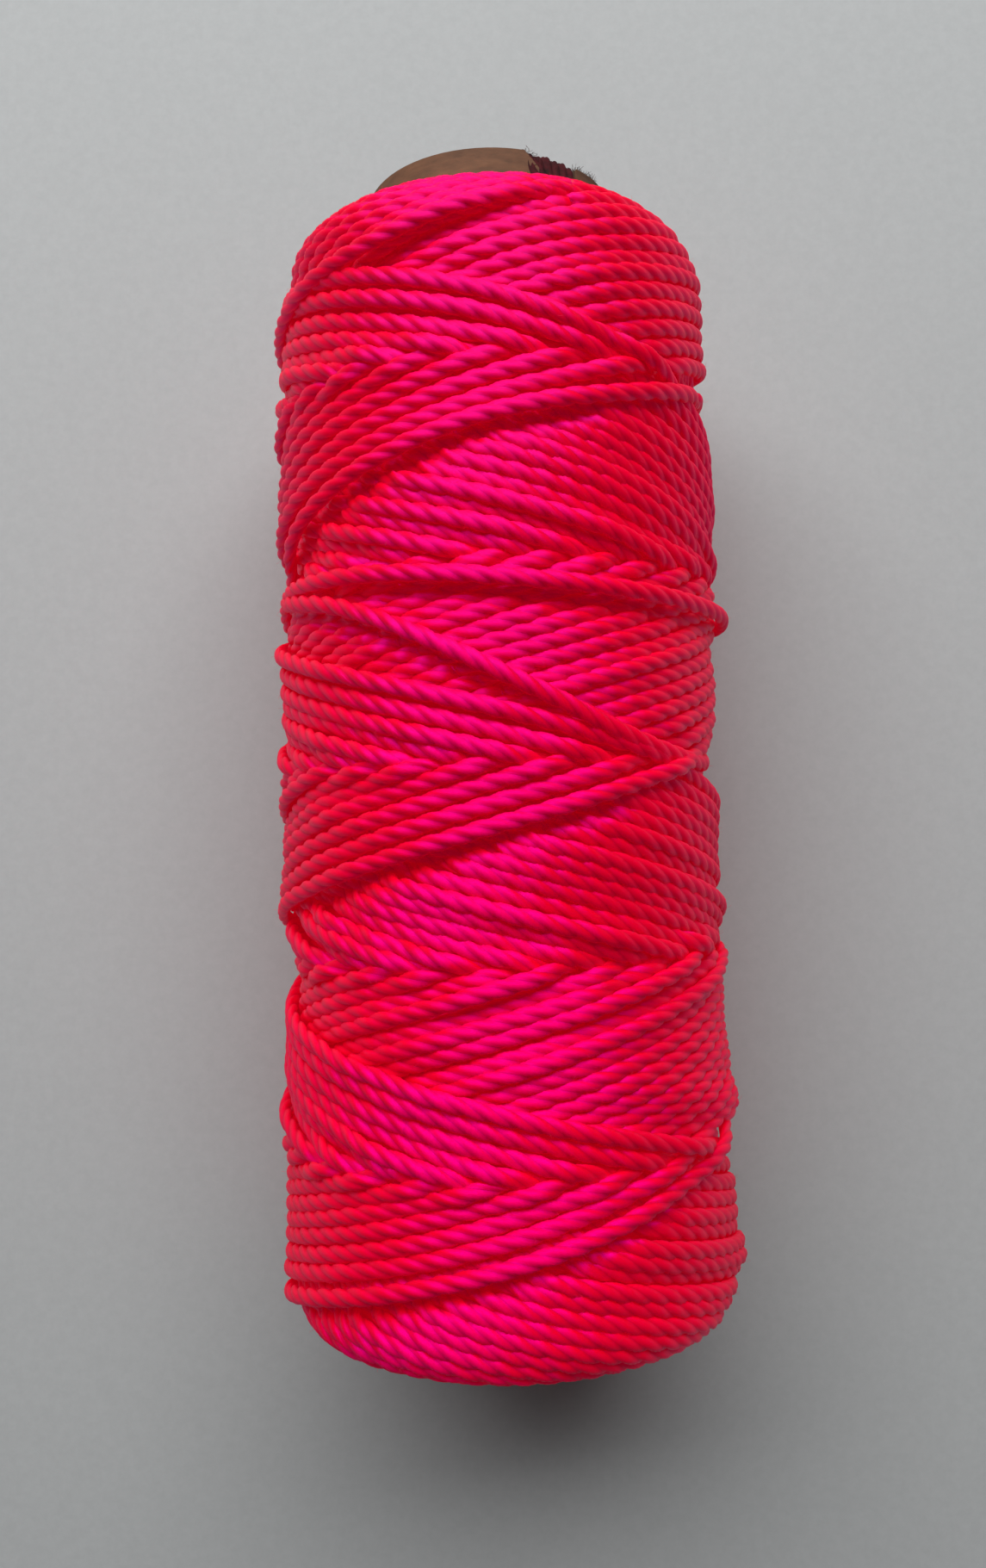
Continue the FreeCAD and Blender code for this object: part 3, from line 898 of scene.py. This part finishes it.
def makeFibres(name, points, directions, length, radius, material):
    mesh = bpy.data.meshes.new(name + "Points")
    mesh.vertices.add(len(points))
    mesh.vertices.foreach_set("co", (points * mm).astype(np.float32).ravel())
    addValues(mesh, "direction", "FLOAT_VECTOR", directions)
    mesh.update()
    holder = bpy.data.objects.new(name + "Holder", mesh)
    scene.collection.objects.link(holder)
    modifier = holder.modifiers.new("looseFibres", "NODES")
    modifier.node_group = fibreTree
    setInput(modifier, fibreTree, "Fibre length", length * mm)
    setInput(modifier, fibreTree, "Fibre radius", radius * mm)
    setInput(modifier, fibreTree, "Seed", fibres["seed"])
    setInput(modifier, fibreTree, "Material", material)
    return bakeNodes(holder, name)


def makeFibreMaterial(name, colour, roughness):
    material, tree, shader = newMaterial(name)
    place = addNode(tree, "ShaderNodeTexCoord", (-900, 0))
    mottles = addNoise(tree, place.outputs["Object"], 400.0, 2.0, 0.6, (-700, 0))
    dark = tuple(c * 0.6 for c in colour)
    tone = addRamp(tree, mottles, [(0.35, dark), (0.65, colour)], (-400, 0))
    tree.links.new(tone, shader.inputs["Base Color"])
    shader.inputs["Roughness"].default_value = roughness
    return material


def makeFuzz():
    rng = np.random.RandomState(fibres["seed"])
    choice = np.nonzero(shown & (pathTurn >= outerStart) & (places[:, 2] > -23.5))[0]
    chosen = np.sort(rng.choice(choice, fibres["fuzz"], replace=False))
    lean = rng.uniform(-1.2, 1.2, len(chosen))[:, None]
    tangents = np.gradient(places, axis=0)[chosen]
    tangents /= np.linalg.norm(tangents, axis=1)[:, None]
    across = np.cross(tangents, outwards[chosen])
    normals = np.cos(lean) * outwards[chosen] + np.sin(lean) * across
    points = places[chosen] + normals * cord["radius"] * 0.72
    directions = normals + tangents * rng.uniform(-1.3, 1.3, len(chosen))[:, None]
    directions += rng.normal(0, 0.25, directions.shape)
    material = makeFibreMaterial("nylonFuzz", fibres["fuzzColour"], 0.6)
    size = (fibres["fuzzLength"], fibres["fuzzRadius"])
    return makeFibres("nylonFuzz", points, directions, *size, material)


def makeTornPaper():
    rng = np.random.RandomState(fibres["seed"] + 1)
    # the notch's edge in the wall: sideways place and CAD Y, with how thickly the fibres stand there
    edge = np.array([(-4.6, 67.6), (-4.1, 67.6), (-2.6, 66.0), (-1.3, 64.7), (1.4, 63.2), (2.0, 67.3),
                     (4.2, 67.45), (6.4, 67.6)])
    spans = np.array([0.5, 2.2, 1.9, 0.0, 2.0, 3.0, 2.5])
    part = rng.choice(len(spans), fibres["paper"], p=spans / spans.sum())
    share = rng.uniform(0, 1, len(part))[:, None]
    spots = edge[part] * (1 - share) + edge[part + 1] * share
    radius = rng.uniform(12.8, winding["tubeRadius"], len(part))
    angle = math.radians(twineEnd["angle"]) + spots[:, 0] / radius
    out = np.stack([np.sin(angle), 0 * angle, np.cos(angle)], axis=1)
    points = out * radius[:, None] + np.array([0, 1, 0]) * (spots[:, 1] - 0.05)[:, None]
    directions = out * rng.uniform(-0.3, 0.9, len(part))[:, None] + rng.normal(0, 0.45, out.shape)
    directions[:, 1] += 0.8
    material = makeFibreMaterial("tornPaper", fibres["paperColour"], 0.9)
    size = (fibres["paperLength"], fibres["paperRadius"])
    return makeFibres("tornPaper", points, directions, *size, material)


fuzz = makeFuzz()
tornPaper = makeTornPaper()
print("loose fibres made")


# The paper tube: kraft plies from the frame with their own paper

kraft = {
    "kraft_liner": (0.14, 0.07, 0.04),
    "kraft_body": (0.10, 0.048, 0.027),
    "kraft_surface": (0.12, 0.055, 0.025),
}


def makeKraft(name, colour):
    material, tree, shader = newMaterial(name)
    place = addNode(tree, "ShaderNodeTexCoord", (-1100, 0))
    stretch = addNode(tree, "ShaderNodeMapping", (-900, 0))
    stretch.inputs["Scale"].default_value = (300, 900, 300)
    tree.links.new(place.outputs["Object"], stretch.inputs[0])
    grain = addNoise(tree, stretch.outputs[0], 1.0, 5.0, 0.65, (-700, 0))
    mottles = addNoise(tree, place.outputs["Object"], 220.0, 3.0, 0.6, (-700, -250))
    mixed = addMath(tree, "ADD", addMath(tree, "MULTIPLY", grain, 0.6, (-500, 0)),
                    addMath(tree, "MULTIPLY", mottles, 0.4, (-500, -200)), (-350, 0))
    dark = tuple(c * 0.65 for c in colour)
    light = tuple(min(c * 1.35, 1) for c in colour)
    tone = addRamp(tree, mixed, [(0.35, dark), (0.65, light)], (-200, 0))
    tree.links.new(tone, shader.inputs["Base Color"])
    shader.inputs["Roughness"].default_value = 0.85
    addBump(tree, shader, grain, 0.5, 0.0001, place=(250, -250))
    return material


kraftPapers = {slot: makeKraft(slot + "Paper", colour) for slot, colour in kraft.items()}
plies = ["tube_liner_ply", "tube_body_ply_1", "tube_body_ply_2", "tube_body_ply_3", "tube_surface_ply"]
for ply in plies:
    slot = "kraft_body"
    if "liner" in ply:
        slot = "kraft_liner"
    if "surface" in ply:
        slot = "kraft_surface"
    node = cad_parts[ply]
    node.data.materials.clear()
    node.data.materials.append(kraftPapers[slot])
print("paper tube finished")


# Which CAD solids the pieces stand for

for solid, shownBy in (("twine_outer_winding", pieces + [fuzz]),
                       ("twine_inner_winding", endPieces + [innerBody]),
                       ("twine_end", twineEndPieces)):
    for piece in shownBy:
        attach(piece, "root")
        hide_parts(solid)
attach(tornPaper, "root")


# Floor, light and camera

studio = {
    "floorHeight": -27.15,    # mm, where the lowest cords touch it
    "floorHalfSize": 3.0,     # metres
    "floorColour": (0.39, 0.403, 0.404),
    "worldColour": (0.97, 0.98, 1.0),
    "worldStrength": 0.065,
    "keyPower": 9.0,
    "keyWidth": 1.0,
    "keyHeight": 0.4,
    "keyDistance": 0.72,
    "keyAzimuth": 97.5,
    "keyElevation": 46.0,
}


def makeFloor():
    material, tree, shader = newMaterial("paleSurface")
    place = addNode(tree, "ShaderNodeTexCoord", (-900, 0))
    grain = addNoise(tree, place.outputs["Object"], 900.0, 3.0, 0.6, (-700, 0))
    colour = studio["floorColour"]
    dark = tuple(c * 0.97 for c in colour)
    light = tuple(c * 1.03 for c in colour)
    tone = addRamp(tree, grain, [(0.3, dark), (0.7, light)])
    tree.links.new(tone, shader.inputs["Base Color"])
    shader.inputs["Roughness"].default_value = 0.8
    shader.inputs["Specular IOR Level"].default_value = 0.2
    size, height = studio["floorHalfSize"], studio["floorHeight"] * mm
    mesh = bpy.data.meshes.new("floor")
    corners = [(x, y, height) for x, y in ((-size, -size), (size, -size), (size, size), (-size, size))]
    mesh.from_pydata(corners, [], [(0, 1, 2, 3)])
    mesh.materials.append(material)
    floor = bpy.data.objects.new("floor", mesh)
    scene.collection.objects.link(floor)


def makeLights():
    world = bpy.data.worlds.new("softRoom")
    scene.world = world
    world.use_nodes = True
    back = world.node_tree.nodes["Background"]
    back.inputs[0].default_value = (*studio["worldColour"], 1)
    back.inputs[1].default_value = studio["worldStrength"]
    lamp = bpy.data.lights.new("key", "AREA")
    lamp.shape = "RECTANGLE"
    lamp.size = studio["keyWidth"]
    lamp.size_y = studio["keyHeight"]
    lamp.energy = studio["keyPower"]
    key = bpy.data.objects.new("key", lamp)
    scene.collection.objects.link(key)
    azimuth, elevation = math.radians(studio["keyAzimuth"]), math.radians(studio["keyElevation"])
    toward = Vector((math.cos(azimuth) * math.cos(elevation), math.sin(azimuth) * math.cos(elevation),
                     math.sin(elevation)))
    key.location = toward * studio["keyDistance"]
    key.rotation_mode = "QUATERNION"
    key.rotation_quaternion = toward.to_track_quat("Z", "Y")


view = {
    "lens": 27.08,
    "distance": 143.9,
    "tilt": 2.21,
    "roll": 1.22,
    "target": (-0.81, -3.11),
}


def makeCamera():
    data = bpy.data.cameras.new("photoView")
    data.sensor_fit = "AUTO"
    data.sensor_width = 36.0
    data.lens = view["lens"]
    camera = bpy.data.objects.new("photoView", data)
    scene.collection.objects.link(camera)
    tilt, roll = math.radians(view["tilt"]), math.radians(view["roll"])
    forwardAxis = Vector((0, math.sin(tilt), -math.cos(tilt)))
    level = Vector((1, 0, 0))
    upright = Vector((0, math.cos(tilt), math.sin(tilt)))
    right = level * math.cos(roll) - upright * math.sin(roll)
    up = level * math.sin(roll) + upright * math.cos(roll)
    eye = (Vector((*view["target"], 0)) - forwardAxis * view["distance"]) * mm
    back = -forwardAxis
    camera.matrix_world = Matrix((
        (right.x, up.x, back.x, eye.x),
        (right.y, up.y, back.y, eye.y),
        (right.z, up.z, back.z, eye.z),
        (0, 0, 0, 1)))
    data.clip_start = 0.005
    data.clip_end = 20
    scene.camera = camera


makeFloor()
makeLights()
makeCamera()
scene.view_settings.view_transform = "Standard"
print("studio made")
